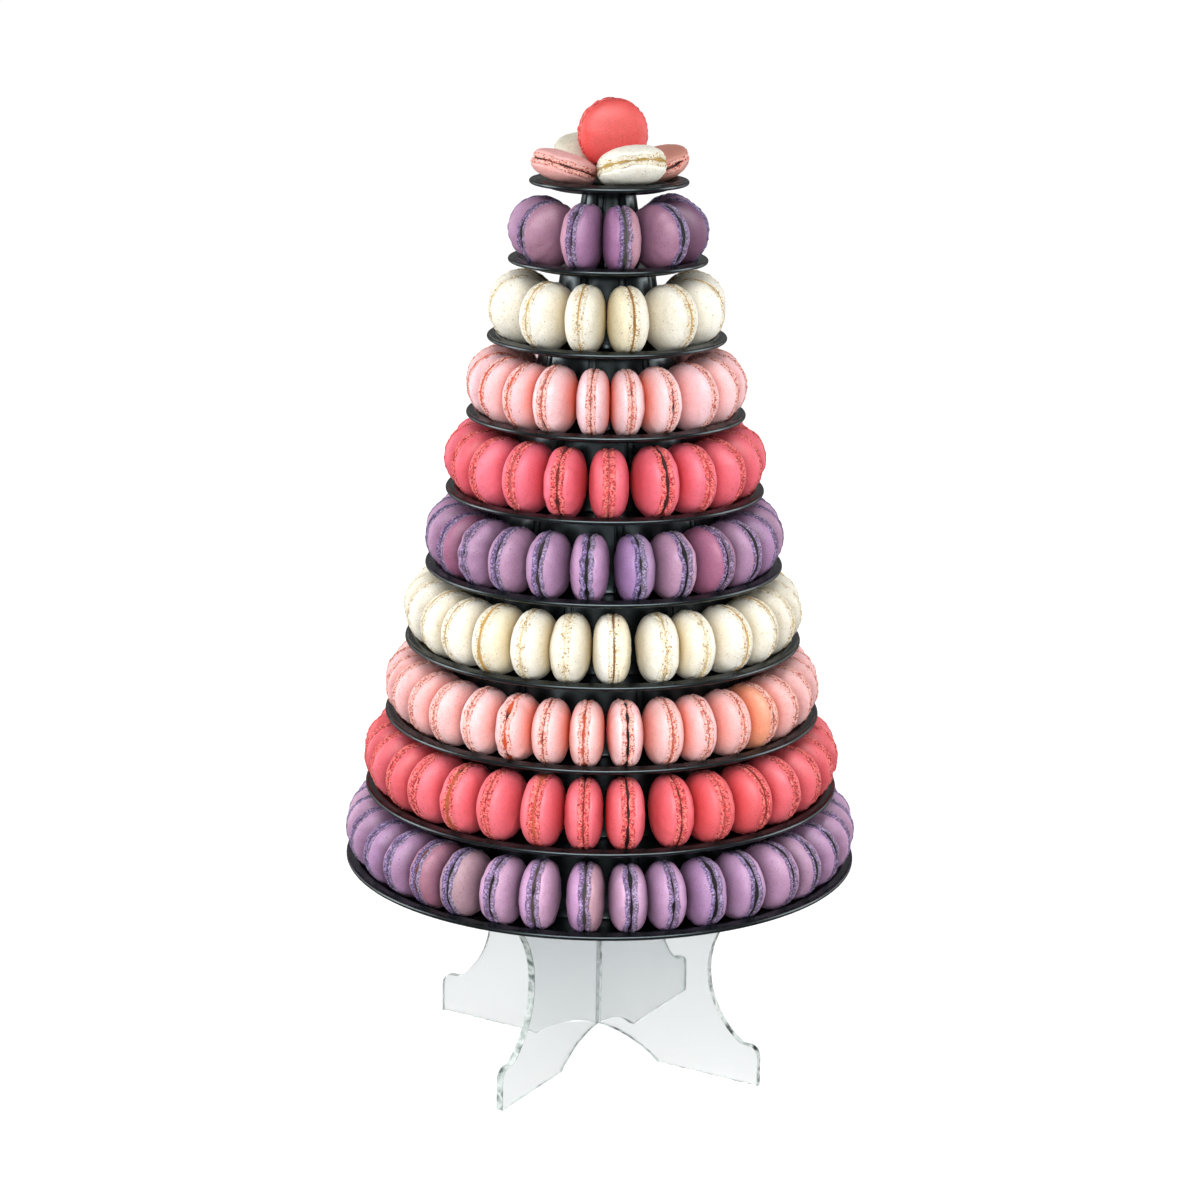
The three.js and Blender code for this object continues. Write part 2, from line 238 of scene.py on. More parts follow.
def meringue(name, frill, patchiness, pits, seam_pits, shell_share, bounce_shade_colour, speck, speck_amount):
    """Baked almond meringue: a smooth dry dome with a faint sheen, and a frilled porous foot.

    The shell's own colour comes from the attribute "shade". "foot" marks the frill, and "press" says
    how near a neighbour is; there the colour is painted deep and warm, as painted shade and bounce
    light from shell to shell."""
    material, tree = new_material(name)
    place = add(tree, "ShaderNodeTexCoord")
    at = {"Vector": (place, "Object")}
    shade = add(tree, ATTRIBUTE, {"attribute_name": "shade"})
    foot = add(tree, ATTRIBUTE, {"attribute_name": "foot"})
    press = add(tree, ATTRIBUTE, {"attribute_name": "press"})
    own = (shade, "Color")
    # Soft mottling of the baked skin, patches of about 4 mm.
    mottle = add(tree, NOISE, {"Scale": 230.0, "Detail": 4.0}, at)
    mottle_level = add(tree, RAMP, {"stops": [(0.3, 0.0), (0.7, 1.0)]}, {0: (mottle, "Fac")})
    deeper = add(tree, MIX, {**MULTIPLY, SECOND: linear("#f3f1ec")}, {FIRST: own})
    mottled = add(
        tree, MIX, BLEND, {FACTOR: (mottle_level, 0), FIRST: own, SECOND: (deeper, MIXED)}
    )
    # Ground almond under the skin: a grain of about 1 mm and finer.
    skin = add(tree, NOISE, {"Scale": 1100.0, "Detail": 3.0}, at)
    grain_level = add(tree, RAMP, {"stops": [(0.33, 0.0), (0.45, 1.0)]}, {0: (skin, "Fac")})
    grained = add(tree, MIX, {**MULTIPLY, SECOND: linear("#e4dfd8")}, {FIRST: (mottled, MIXED)})
    dome = add(
        tree, MIX, BLEND,
        {FACTOR: (grain_level, 0), FIRST: (grained, MIXED), SECOND: (mottled, MIXED)},
    )
    # Almond specks: cells of 2.5 mm, of which some hold a dot of under 1 mm.
    cells = add(tree, CELLS, {"Scale": 400.0}, at)
    dot = add(tree, RAMP, {"stops": [(0.1, 1.0), (0.2, 0.0)]}, {0: (cells, "Distance")})
    chosen = add(
        tree, MATHS, {"operation": "GREATER_THAN", 1: 1.0 - speck_amount}, {0: (cells, "Color")}
    )
    dots = add(tree, MATHS, {"operation": "MULTIPLY"}, {0: (dot, 0), 1: (chosen, 0)})
    tinted_dots = add(tree, MATHS, {"operation": "MULTIPLY", 1: 0.7}, {0: (dots, 0)})
    speckled = add(
        tree, MIX, {**BLEND, SECOND: linear(speck)},
        {FACTOR: (tinted_dots, 0), FIRST: (dome, MIXED)},
    )
    # Painted shade and warm bounce light where two shells lean together.
    nearness = add(
        tree, MATHS, {"operation": "MULTIPLY", "use_clamp": True, 1: 0.95}, {0: (press, "Fac")}
    )
    bounce_shaded = add(
        tree, MIX, {**BLEND, SECOND: linear(bounce_shade_colour)},
        {FACTOR: (nearness, 0), FIRST: (speckled, MIXED)},
    )
    # The frill: crumbs of about 1 mm, each with a tone of its own, in darker and paler patches. The
    # darkest are pits, painted dark as shade in the pores.
    crumbs = add(tree, CELLS, {"Scale": 1050.0, "Randomness": 1.0}, at)
    patches = add(tree, NOISE, {"Scale": 260.0, "Detail": 1.0}, at)
    patch_shift = add(
        tree, MATHS, {"operation": "SUBTRACT", 1: 0.5 + pits}, {0: (patches, "Fac")}
    )
    patch_tone = add(
        tree, MATHS, {"operation": "MULTIPLY", 1: patchiness}, {0: (patch_shift, 0)}
    )
    patchy = add(tree, MATHS, {"operation": "ADD"}, {0: (crumbs, "Color"), 1: (patch_tone, 0)})
    # The pits, painted as shade, crowd towards the seam, where "foot" is highest, and less so along
    # the dome.
    from_middle = add(tree, MATHS, {"operation": "SUBTRACT", 1: 0.74}, {0: (foot, "Fac")})
    outwards = add(tree, MATHS, {"operation": "ABSOLUTE"}, {0: (from_middle, 0)})
    past_middle = add(tree, MATHS, {"operation": "SUBTRACT", 1: 0.1}, {0: (outwards, 0)})
    rows = add(
        tree, MATHS, {"operation": "MULTIPLY", 1: 1.5 * seam_pits}, {0: (past_middle, 0)}
    )
    crumb_tone = add(tree, MATHS, {"operation": "SUBTRACT"}, {0: (patchy, 0), 1: (rows, 0)})
    frill_own = add(
        tree, RAMP, {"stops": list(zip((0.14, 0.24, 0.36, 0.75), frill))}, {0: (crumb_tone, 0)}
    )
    frill_tone = add(
        tree, MIX, {**BLEND, FACTOR: shell_share}, {FIRST: (frill_own, 0), SECOND: own}
    )
    wander = add(tree, MATHS, {"operation": "MULTIPLY", 1: 0.3}, {0: (crumbs, "Distance")})
    edge = add(tree, MATHS, {"operation": "SUBTRACT"}, {0: (foot, "Fac"), 1: (wander, 0)})
    frill_mask = add(tree, RAMP, {"stops": [(0.2, 0.0), (0.32, 1.0)]}, {0: (edge, 0)})
    shell = add(
        tree, MIX, BLEND,
        {FACTOR: (frill_mask, 0), FIRST: (bounce_shaded, MIXED), SECOND: (frill_tone, MIXED)},
    )
    # The cream between the shells keeps its own colour, carried by "shade".
    fill = add(tree, ATTRIBUTE, {"attribute_name": "fill"})
    colour = add(
        tree, MIX, BLEND, {FACTOR: (fill, "Fac"), FIRST: (shell, MIXED), SECOND: own}
    )
    # Relief: eggshell skin and rare pimples on the dome, pores and crumbs on the frill.
    skin_bump = add(
        tree, BUMP, {"Strength": 0.3, "Distance": 0.35 * MM}, {"Height": (skin, "Fac")}
    )
    pimples = add(
        tree, BUMP, {"Strength": 0.6, "Distance": 0.5 * MM},
        {"Height": (dots, 0), "Normal": (skin_bump, 0)},
    )
    crumb_round = add(
        tree, RAMP, {"stops": [(0.15, 1.0), (0.6, 0.0)]}, {0: (crumbs, "Distance")}
    )
    crumb_level = add(tree, RAMP, {"stops": [(0.12, 0.0), (0.42, 1.0)]}, {0: (crumb_tone, 0)})
    rough_height = add(
        tree, MATHS, {"operation": "MULTIPLY"}, {0: (crumb_level, 0), 1: (crumb_round, 0)}
    )
    foot_height = add(
        tree, MATHS, {"operation": "MULTIPLY"}, {0: (rough_height, 0), 1: (frill_mask, 0)}
    )
    foot_bump = add(
        tree, BUMP, {"Strength": 0.85, "Distance": 0.6 * MM},
        {"Height": (foot_height, 0), "Normal": (pimples, 0)},
    )
    roughness = add(tree, RAMP, {"stops": [(0.0, 0.5), (1.0, 0.85)]}, {0: (frill_mask, 0)})
    shader = add(
        tree, SHADER, {"IOR": 1.45, "Specular IOR Level": 0.35},
        {"Base Color": (colour, MIXED), "Roughness": (roughness, 0), "Normal": (foot_bump, 0)},
    )
    add(tree, "ShaderNodeOutputMaterial", links={"Surface": (shader, "BSDF")})
    return material


# Black thermoformed polystyrene: thin sheet drawn over a mould, so it is glossy and cool black,
# with a faint long-wave unevenness and a few dust grains; only the lights draw lines on it.
def black_polystyrene():
    material, tree = new_material("black_thermoformed_polystyrene")
    place = add(tree, "ShaderNodeTexCoord")
    at = {"Vector": (place, "Object")}
    wave = add(tree, NOISE, {"Scale": 60.0, "Detail": 1.0}, at)
    grain = add(tree, NOISE, {"Scale": 1400.0, "Detail": 1.0}, at)
    wave_bump = add(
        tree, BUMP, {"Strength": 0.01, "Distance": 0.5 * MM}, {"Height": (wave, "Fac")}
    )
    grain_bump = add(
        tree, BUMP, {"Strength": 0.04, "Distance": 0.1 * MM},
        {"Height": (grain, "Fac"), "Normal": (wave_bump, 0)},
    )
    tone = add(tree, RAMP, {"stops": [(0.3, "#060809"), (0.7, "#0b0e10")]}, {0: (wave, "Fac")})
    roughness = add(tree, RAMP, {"stops": [(0.3, 0.24), (0.7, 0.28)]}, {0: (wave, "Fac")})
    shader = add(
        tree, SHADER,
        {"IOR": 1.5, "Specular IOR Level": 0.5, "Specular Tint": linear("#dcf0f6")},
        {"Base Color": (tone, 0), "Roughness": (roughness, 0), "Normal": (grain_bump, 0)},
    )
    add(tree, "ShaderNodeOutputMaterial", links={"Surface": (shader, "BSDF")})
    return material


# Cast acrylic sheet: clear, with polished faces and a faint grey body. The grey is drawn deeper
# towards the tray above, where the real sheet stands in the tray's shade.
def cast_acrylic():
    material, tree = new_material("clear_cast_acrylic")
    place = add(tree, "ShaderNodeTexCoord")
    ripple = add(tree, NOISE, {"Scale": 45.0, "Detail": 1.0}, {"Vector": (place, "Object")})
    bump = add(
        tree, BUMP, {"Strength": 0.06, "Distance": 0.4 * MM}, {"Height": (ripple, "Fac")}
    )
    split = add(tree, "ShaderNodeSeparateXYZ", links={0: (place, "Object")})
    height = add(
        tree, MATHS, {"operation": "DIVIDE", "use_clamp": True, 1: PANEL_TOP * MM},
        {0: (split, "Z")},
    )
    greys = [(0.0, "#eff1f1"), (0.45, "#e7eaeb"), (1.0, "#d9dee0")]
    tone = add(tree, RAMP, {"stops": greys}, {0: (height, 0)})
    shader = add(
        tree, SHADER, {"IOR": 1.49, "Roughness": 0.02, "Transmission Weight": 0.88},
        {"Base Color": (tone, 0), "Normal": (bump, 0)},
    )
    add(tree, "ShaderNodeOutputMaterial", links={"Surface": (shader, "BSDF")})
    return material


# The sheet's cut edge, polished by flame, with fine cutter marks. Its pale, bright, grey-green and
# dark runs of about 10 mm are painted light, standing in for the light that runs inside the sheet.
# The edge also glows faintly as a painted glow, though it is no lamp.
def flame_polished_edge():
    material, tree = new_material("acrylic_edge_painted_light")
    place = add(tree, "ShaderNodeTexCoord")
    at = {"Vector": (place, "Object")}
    runs = add(tree, NOISE, {"Scale": 95.0, "Detail": 1.5}, at)
    marks = add(tree, NOISE, {"Scale": 620.0, "Detail": 1.0}, at)
    marked = add(
        tree, MATHS, {"operation": "MULTIPLY_ADD", 1: 0.16},
        {0: (marks, "Fac"), 2: (runs, "Fac")},
    )
    # Painted light: bright, grey-green and dark runs in place of the light inside the sheet.
    painted_light_runs = [
        (0.4, "#2a302f"),
        (0.46, "#88928f"),
        (0.53, "#b4bebb"),
        (0.61, "#d9dfdd"),
        (0.69, "#a8b3b0"),
        (0.77, "#6f7a77"),
    ]
    tone = add(tree, RAMP, {"stops": painted_light_runs}, {0: (marked, 0)})
    bump = add(
        tree, BUMP, {"Strength": 0.2, "Distance": 0.2 * MM}, {"Height": (marks, "Fac")}
    )
    # The faint emission is a painted glow; the edge is no lamp.
    shader = add(
        tree, SHADER, {"IOR": 1.49, "Roughness": 0.12, "Emission Strength": 0.12},
        {"Base Color": (tone, 0), "Emission Color": (tone, 0), "Normal": (bump, 0)},
    )
    add(tree, "ShaderNodeOutputMaterial", links={"Surface": (shader, "BSDF")})
    return material


# Each flavour's finish. Its frill's colours run from the pits, painted dark as shade in the pores,
# to the palest crumbs. "patchiness" is how far they swing, "pits" and "seam_pits" how many turn dark
# with painted shade, in all and towards the seam, and "shell_share" how much of the shell's own
# colour is in the frill. The deep, warm colour for where two shells lean together is painted shade
# and bounce light.
MERINGUES = {
    "lilac": {
        "frill": ("#100a16", "#3c2c58", "#716096", "#b9abca"),
        "patchiness": 0.5,
        "pits": 0.4,
        "seam_pits": 0.5,
        "shell_share": 0.3,
        "bounce_shade_colour": "#4c3148",
        "speck": "#4a2c48",
        "speck_amount": 0.14,
    },
    "coral": {
        "frill": ("#7c1214", "#c22222", "#e2504c", "#ef8880"),
        "patchiness": 0.5,
        "pits": 0.1,
        "seam_pits": 0.5,
        "shell_share": 0.12,
        "bounce_shade_colour": "#bc1a10",
        "speck": "#8a1f24",
        "speck_amount": 0.12,
    },
    "pink": {
        "frill": ("#a23418", "#dc6440", "#edaa9c", "#f3c6be"),
        "patchiness": 0.55,
        "pits": 0.05,
        "seam_pits": 0.9,
        "shell_share": 0.1,
        "bounce_shade_colour": "#e0602c",
        "speck": "#b4543f",
        "speck_amount": 0.14,
    },
    "cream": {
        "frill": ("#9a7430", "#d6bc84", "#ece2c6", "#f2eddd"),
        "patchiness": 0.45,
        "pits": 0.02,
        "seam_pits": 0.3,
        "shell_share": 0.12,
        "bounce_shade_colour": "#c6b07c",
        "speck": "#5c523e",
        "speck_amount": 0.3,
    },
}
FLAVOUR_FINISH = {
    flavour: meringue(f"{flavour}_almond_meringue", **values)
    for flavour, values in MERINGUES.items()
}
TRAY_FINISH = black_polystyrene()

# ---- Trays ----

BEAD = 1.5
FLUTE_COUNT = 8
FLUTE_STEPS = 10
PANEL_STEPS = 12
ROUND_STEPS = FLUTE_COUNT * (FLUTE_STEPS + PANEL_STEPS)
# A flute's section: distance from its middle line, and depth. A rib between two grooves.
FLUTE_ACROSS = [0.0, 1.3, 2.0, 2.7, 3.4]
FLUTE_DEPTH = [-0.1, 0.0, -1.2, -1.2, -0.2]
# Direction of one flute on each tier's column, in degrees from the tower's front.
FLUTE_TURN = {1: 10.0, 2: -4.0, 3: 14.0, 4: -15.0, 5: 7.8, 6: 15.5, 7: -11.0, 8: 16.0, 9: 28.0}
# A column stands upright up to this share of its height, then draws in towards the next tray.
UPRIGHT_SHARE = 0.62


def tray_outline(tier):
    """Half section of a tray and its column, from the underside's middle to the top's middle."""
    lip = lip_radius(tier)
    z = lip_z(tier)
    under = z - UNDERSIDE_DOWN
    floor = z - FLOOR_DOWN
    dish = [
        (UNDERSIDE_IN + 14, -UNDERSIDE_DOWN),
        (UNDERSIDE_IN + 1.6, -UNDERSIDE_DOWN),
        (UNDERSIDE_IN + 0.2, -UNDERSIDE_DOWN + 0.35),
        (8.5, -3.0),
        (3.2, -1.5),
    ]
    bead = []
    for degrees in range(-80, 76, 12):
        a = math.radians(degrees)
        bead.append((BEAD * (1 - math.cos(a)), BEAD * math.sin(a) - 0.1))
    rim = [
        (2.1, 0.85),
        (2.7, 0.8),
        (4.0, 1.5),
        (4.8, 1.98),
        (5.4, CREST_UP - 0.04),
        (CREST_IN, CREST_UP - 0.1),
        (CREST_IN + 0.6, CREST_UP - 0.6),
        (FLOOR_IN - 1.0, -FLOOR_DOWN + 1.3),
        (FLOOR_IN, -FLOOR_DOWN + 0.25),
        (FLOOR_IN + 1.2, -FLOOR_DOWN),
    ]
    points = [(0.0, under)] + [(lip - inward, z + up) for inward, up in dish + bead + rim]
    if tier == TIER_COUNT:
        return points + [(12.0, floor), (0.0, floor)]
    top = z + TIER_RISE - UNDERSIDE_DOWN - TOUCH_GAP
    foot = lip - COLUMN_FOOT_IN
    head = lip - COLUMN_TOP_IN
    rise = top - floor
    points += [(foot + 4, floor), (foot + 0.9, floor + 0.25), (foot - 0.1, floor + 1.4)]
    for share in (0.15, 0.35, 0.6, 0.66, 0.75, 0.88):
        drawn_in = max(0.0, (share - UPRIGHT_SHARE) / (1 - UPRIGHT_SHARE))
        points.append((foot + (head - foot) * drawn_in, floor + rise * share))
    points += [(head + 0.1, top - 1.2), (head - 0.4, top - 0.3), (head - 1.2, top), (0.0, top)]
    return points


def make_tray(tier):
    outline = [(x * MM, 0.0, z * MM) for x, z in tray_outline(tier)]
    tray = turned(f"thermoformed_tray_{tier}", outline, ROUND_STEPS)
    place = positions(tray.data)
    radius = np.hypot(place[:, 0], place[:, 1])
    direction = np.arctan2(place[:, 1], place[:, 0])
    if tier < TIER_COUNT:
        # The evenly spaced steps close up on the flutes, so that each corner of a flute has one.
        sector = 2 * math.pi / FLUTE_COUNT
        step = sector / (FLUTE_STEPS + PANEL_STEPS)
        column_radius = lip_radius(tier) - 0.5 * (COLUMN_FOOT_IN + COLUMN_TOP_IN)
        even = [i * step for i in range(FLUTE_STEPS // 2 + 1)] + [0.5 * sector]
        corners = [across / column_radius for across in FLUTE_ACROSS]
        closed_up = corners + [1.6 * corners[-1], 0.5 * sector]
        whole = np.round(direction / sector)
        inside = direction - whole * sector
        flute_angle = np.sign(inside) * np.interp(np.abs(inside), even, closed_up)
        turn = math.radians(FLUTE_TURN[tier] - 90 + FRONT_TURN)
        direction = whole * sector + flute_angle + turn
        # Upright flutes in the column only.
        above_floor = place[:, 2] > (lip_z(tier) - FLOOR_DOWN + 0.1) * MM
        inside_foot = radius < (lip_radius(tier) - COLUMN_FOOT_IN + 1) * MM
        outside_head = radius > (lip_radius(tier) - COLUMN_TOP_IN - 0.6) * MM
        is_column = above_floor & inside_foot & outside_head
        across = np.abs(flute_angle) * column_radius
        depth = np.interp(across, FLUTE_ACROSS, FLUTE_DEPTH)
        radius = radius + np.where(is_column, depth * MM, 0.0)
    place[:, 0] = radius * np.cos(direction)
    place[:, 1] = radius * np.sin(direction)
    set_positions(tray.data, place)
    smooth(tray, 42)
    tray.data.materials.append(TRAY_FINISH)
    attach(tray, "root")
    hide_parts(f"tray_{tier}")
    return tray


# ---- Base ----

PANEL = {
    "thickness": 5.0,
    "foot_outer": 126.7,
    "foot_inner": 50.8,
    "shoulder_z": 28.5,
    "shoulder_round": 8.0,
    "waist_half": 87.5,
    "waist_z": 77.0,
    "waist_round": 57.8,
    "arch_rise": 18.4,
}
PANEL_TOP = LOWEST_LIP_Z - UNDERSIDE_DOWN - TOUCH_GAP
# Points of an outline that are closer than this are one point.
CLOSE_POINTS = 0.05


def arc(cx, cz, radius, start, end, steps):
    angles = [math.radians(start + (end - start) * i / steps) for i in range(steps + 1)]
    return [(cx + radius * math.cos(a), cz + radius * math.sin(a)) for a in angles]


def panel_side():
    """The right side of a panel's outline, from the foot's sole up to the flange's top."""
    p = PANEL
    round_x = p["foot_outer"] - p["shoulder_round"]
    round_z = p["shoulder_z"] - p["shoulder_round"]
    centre = p["waist_half"] + p["waist_round"]
    spread = math.degrees(math.asin((p["waist_z"] - p["shoulder_z"]) / p["waist_round"]))
    side = [(p["foot_outer"], 0.0)]
    side += arc(round_x, round_z, p["shoulder_round"], 0, 90, 10)
    side += arc(centre, p["waist_z"], p["waist_round"], 180 + spread, 180 - spread, 40)
    side += [(round_x, 2 * p["waist_z"] - p["shoulder_z"]), (round_x, PANEL_TOP)]
    return side


def panel_outline(slot_from_top):
    p = PANEL
    arch = (p["foot_inner"] ** 2 + p["arch_rise"] ** 2) / (2 * p["arch_rise"])
    centre_z = p["arch_rise"] - arch
    half = 0.5 * p["thickness"] + TOUCH_GAP
    middle = 0.5 * (p["arch_rise"] + PANEL_TOP)
    slot_end = middle + (-0.5 if slot_from_top else 0.5) * TOUCH_GAP

    def arch_arc(start_x, end_x, steps):
        start = math.degrees(math.acos(start_x / arch))
        end = math.degrees(math.acos(end_x / arch))
        return arc(0, centre_z, arch, start, end, steps)

    outline = [(p["foot_inner"], 0.0)] + panel_side()
    if slot_from_top:
        outline += [(half, PANEL_TOP), (half, slot_end), (-half, slot_end), (-half, PANEL_TOP)]
    outline += [(-x, z) for x, z in reversed(panel_side())]
    if slot_from_top:
        outline += arch_arc(-p["foot_inner"], p["foot_inner"], 32)[:-1]
    else:
        outline += arch_arc(-p["foot_inner"], -half, 16)
        outline += [(-half, slot_end), (half, slot_end)]
        outline += arch_arc(half, p["foot_inner"], 16)[:-1]
    return outline


PANEL_FINISH = cast_acrylic()
EDGE_FINISH = flame_polished_edge()


def make_panel(node, slot_from_top, along_y):
    outline = panel_outline(slot_from_top)
    half = 0.5 * PANEL["thickness"] * MM
    kept = [outline[0]]
    for point in outline[1:]:
        if math.dist(point, kept[-1]) > CLOSE_POINTS:
            kept.append(point)
    panel = drawn_line("acrylic_" + node, [(x * MM, -half, z * MM) for x, z in kept])
    bpy.ops.mesh.select_all(action="SELECT")
    bpy.ops.mesh.edge_face_add()
    bpy.ops.mesh.extrude_region_move(TRANSFORM_OT_translate={"value": (0, 2 * half, 0)})
    bpy.ops.mesh.select_all(action="SELECT")
    bpy.ops.mesh.normals_make_consistent(inside=False)
    bpy.ops.object.mode_set(mode="OBJECT")
    # Polished arris round every face.
    bevel = panel.modifiers.new("arris", "BEVEL")
    bevel.width = 0.4 * MM
    bevel.segments = 2
    bevel.limit_method = "ANGLE"
    bevel.angle_limit = math.radians(50)
    bpy.ops.object.modifier_apply(modifier="arris")
    if along_y:
        place = positions(panel.data)
        set_positions(panel.data, np.column_stack([-place[:, 1], place[:, 0], place[:, 2]]))
    smooth(panel, 12)
    panel.data.materials.append(PANEL_FINISH)
    panel.data.materials.append(EDGE_FINISH)
    across = 0 if along_y else 1
    for face in panel.data.polygons:
        face.material_index = 0 if abs(face.normal[across]) > 0.9 else 1
    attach(panel, "root")
    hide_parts(node)
    return panel


# ---- Macarons ----

MASTER_RADIUS = 22.5
MASTER_HALF = 12.4
FILL_HALF = 0.5
FOOT_INNER = 0.62
FOOT_OUTER = 3.9
# How wide the seam between the two frills is, least and most.
SEAM_GAP = {"lilac": (1.1, 2.1), "coral": (0.3, 1.1), "pink": (0.3, 1.1), "cream": (0.4, 0.9)}
# How far the filling lies back from the frill's edge, and how deep the seam's tears are.
FILL_RECESS = {"lilac": (1.4, 2.6), "coral": (0.9, 1.9), "pink": (0.9, 2.0), "cream": (0.2, 0.8)}
TEAR = {"lilac": 1.0, "coral": 0.8, "pink": 1.1, "cream": 0.2}
# How wide the frill of one shell is, least and most.
FOOT_WIDTH = {"lilac": (2.7, 3.3), "coral": (2.9, 3.6), "pink": (2.4, 3.0), "cream": (2.6, 3.3)}
# How lively the frill's bumps are.
RUFFLE = {"lilac": 0.3, "coral": 0.42, "pink": 0.34, "cream": 0.3}
# How far from a neighbour the painted shade and bounce light fade.
BOUNCE_SHADE_REACH = 4.0
MACARON_STEPS = 72
DOME_CURVE = 2.5
# Half the seam's width, at least and at most.
HALF_SEAM = (0.06, 2.0)
# How far a frill's bumps may reach in and out.
FRILL_REACH = (-0.9, 0.28)
# A macaron's two shells come from one batch, so each takes this share of the other's colour.
SHARED_COLOUR = 0.35
# About three macarons in ten carry a shallow dent.
DENT_SHARE = 0.3


def dome_share(along):
    """Share of the radius at a share of the half thickness: a soft pillow curve."""
    return (1 - along**DOME_CURVE) ** (1 / DOME_CURVE)


def macaron_outline():
    """Half section of one shell, from the filling's middle to the dome's middle."""
    shell = [
        (0.0, 0.925),
        (0.49, 0.93),
        (0.6, 0.955),
        (1.2, 0.978),
        (2.2, 0.987),
        (3.2, 0.983),
        (3.85, 0.972),
        (4.25, 0.945),
        (4.75, 0.952),
    ]
    for along in (0.46, 0.55, 0.65, 0.75, 0.84, 0.92, 0.975):
        shell.append((along * MASTER_HALF, dome_share(along)))
    shell.append((MASTER_HALF, 0.0))
    return shell


def make_master():
    shell = macaron_outline()
    right = [(share * MASTER_RADIUS * MM, along * MM, 0.0) for along, share in shell]
    left = [(x, -y, z) for x, y, z in reversed(right[1:])]
    return turned("macaron_master", left + right, MACARON_STEPS, axis=(0, 1, 0))


master = make_master()
MASTER_PLACE = positions(master.data) / MM
MASTER_ALONG = MASTER_PLACE[:, 1]
MASTER_SHARE = np.hypot(MASTER_PLACE[:, 0], MASTER_PLACE[:, 2]) / MASTER_RADIUS
MASTER_TURN = np.arctan2(MASTER_PLACE[:, 2], MASTER_PLACE[:, 0])
MASTER_FACES = [list(face.vertices) for face in master.data.polygons]
bpy.data.objects.remove(master)

# Shell colours of each flavour; a batch is never one colour.
SHELLS = {
    "lilac": ["#c397bf", "#bd92b8", "#b890b8", "#c69cba", "#b48bb8", "#bf93b4"],
    "coral": ["#ea6c78", "#ee7584", "#e8666f", "#ec6e7c", "#e6626a", "#f07a88"],
    "pink": ["#f6ced2", "#f4c7cb", "#f7d4d9", "#f2c1c3", "#f5cbcc", "#f3c8cf"],
    "cream": ["#f5f3ea", "#f1ede1", "#f6f4ee", "#efebdd", "#f3f0e6", "#f7f5ec"],
}
FILLINGS = {
    "lilac": ["#120e12", "#1a1418", "#2c2624", "#0e0a0e"],
    "coral": ["#a8372a", "#c0483a", "#7e2018", "#b54e4d"],
    "pink": ["#c25a3c", "#a8402a", "#d0765a", "#8a3a26"],
    "cream": ["#cda352", "#c49648", "#dabc7c", "#ba8c3e"],
}

# Where the frill is toned apart from its shell: before and after the filling.
FRILL_SHADES = {"lilac": ("#7b68a2", "#aca0b2")}

# Each tier's own tone, as shares of its shells' red, green and blue.
BATCH_TONE = {
    1: (1.03, 1.06, 1.06),
    5: (0.93, 0.93, 0.93),
    6: (1.0, 1.0, 1.12),
    7: (1.01, 1.1, 1.15),
    9: (0.86, 0.85, 0.89),
}

